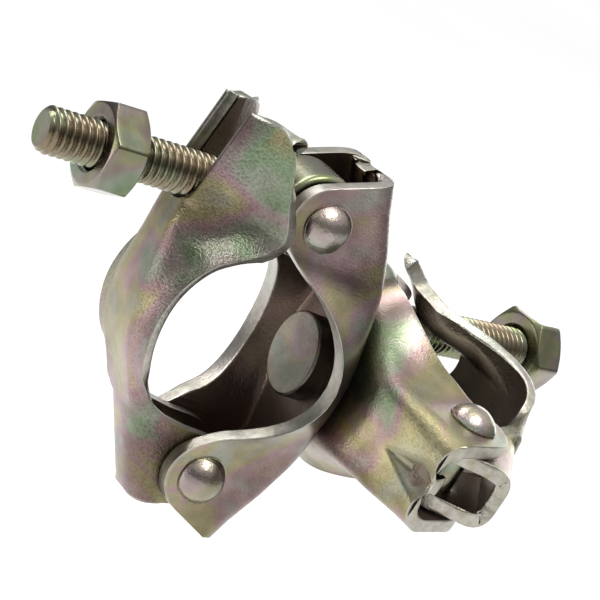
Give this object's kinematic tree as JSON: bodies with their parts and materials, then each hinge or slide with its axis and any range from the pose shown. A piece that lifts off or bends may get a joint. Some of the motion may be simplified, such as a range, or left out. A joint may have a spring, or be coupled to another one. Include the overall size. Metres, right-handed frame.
{
  "type": "scaffold coupler",
  "caption": "Pressed steel swivel coupler: two hinged tube clamps back to back on one swivel rivet, each closed by a swinging eye bolt and nut, for joining scaffold tubes at any angle.",
  "frame": {"origin": "centre of the first tube clamp, on its tube axis and midway between its lips", "axes": "+Y along the first tube; +X along the swivel rivet towards the second clamp; +Z along the first clamp's strap from its cap hinge to its bolt"},
  "size_m": [0.2115, 0.122, 0.1086],
  "materials": {
    "pressed_plate": "yellow zinc passivated pressed steel, satin with faint green and pink bloom",
    "rivet_steel": "zinc plated rivet, satin",
    "thread_steel": "yellow zinc passivated screw thread, semi bright",
    "nut_steel": "yellow zinc passivated machined nut, semi bright"
  },
  "bodies": {
    "half_a": {"saddle_a": "pressed_plate", "hinge_rivet_a": "rivet_steel", "bolt_rivet_a": "rivet_steel", "swivel_rivet": "rivet_steel"},
    "half_b": {"saddle_b": "pressed_plate", "hinge_rivet_b": "rivet_steel", "bolt_rivet_b": "rivet_steel"},
    "cap_body_a": {"cap_a": "pressed_plate"},
    "bolt_body_a": {"eye_bolt_a": "thread_steel"},
    "nut_body_a": {"nut_a": "nut_steel"},
    "cap_body_b": {"cap_b": "pressed_plate"},
    "bolt_body_b": {"eye_bolt_b": "thread_steel"},
    "nut_body_b": {"nut_b": "nut_steel"}
  },
  "joints": [
    {"name": "swivel", "type": "hinge", "parent": "half_a", "child": "half_b", "pos_m": [0.0337, 0, 0], "axis": [1, 0, 0], "continuous": true},
    {"name": "cap_hinge_a", "type": "hinge", "parent": "half_a", "child": "cap_body_a", "pos_m": [0.0088, 0, -0.0364], "axis": [0, -1, 0], "range_deg": [-1.5, 60]},
    {"name": "bolt_swing_a", "type": "hinge", "parent": "half_a", "child": "bolt_body_a", "pos_m": [0.0071, 0, 0.0372], "axis": [0, 1, 0], "range_deg": [-0.3, 98]},
    {"name": "nut_travel_a", "type": "slide", "parent": "bolt_body_a", "child": "nut_body_a", "axis": [-0.9982, 0, -0.0593], "range_m": [-0.014, 0.022]},
    {"name": "cap_hinge_b", "type": "hinge", "parent": "half_b", "child": "cap_body_b", "pos_m": [0.0586, -0.03605, -0.00507], "axis": [0, 0.1392, -0.9903], "range_deg": [-1.5, 60]},
    {"name": "bolt_swing_b", "type": "hinge", "parent": "half_b", "child": "bolt_body_b", "pos_m": [0.0603, 0.03684, 0.00518], "axis": [0, -0.1392, 0.9903], "range_deg": [-2, 80]},
    {"name": "nut_travel_b", "type": "slide", "parent": "bolt_body_b", "child": "nut_body_b", "axis": [0.9659, 0.2563, 0.036], "range_m": [-0.028, 0.008]}
  ],
  "couplings": [
    {"joint": "cap_hinge_a", "follows": "bolt_swing_a", "ratio": 0.6},
    {"joint": "cap_hinge_b", "follows": "bolt_swing_b", "ratio": 0.7}
  ]
}
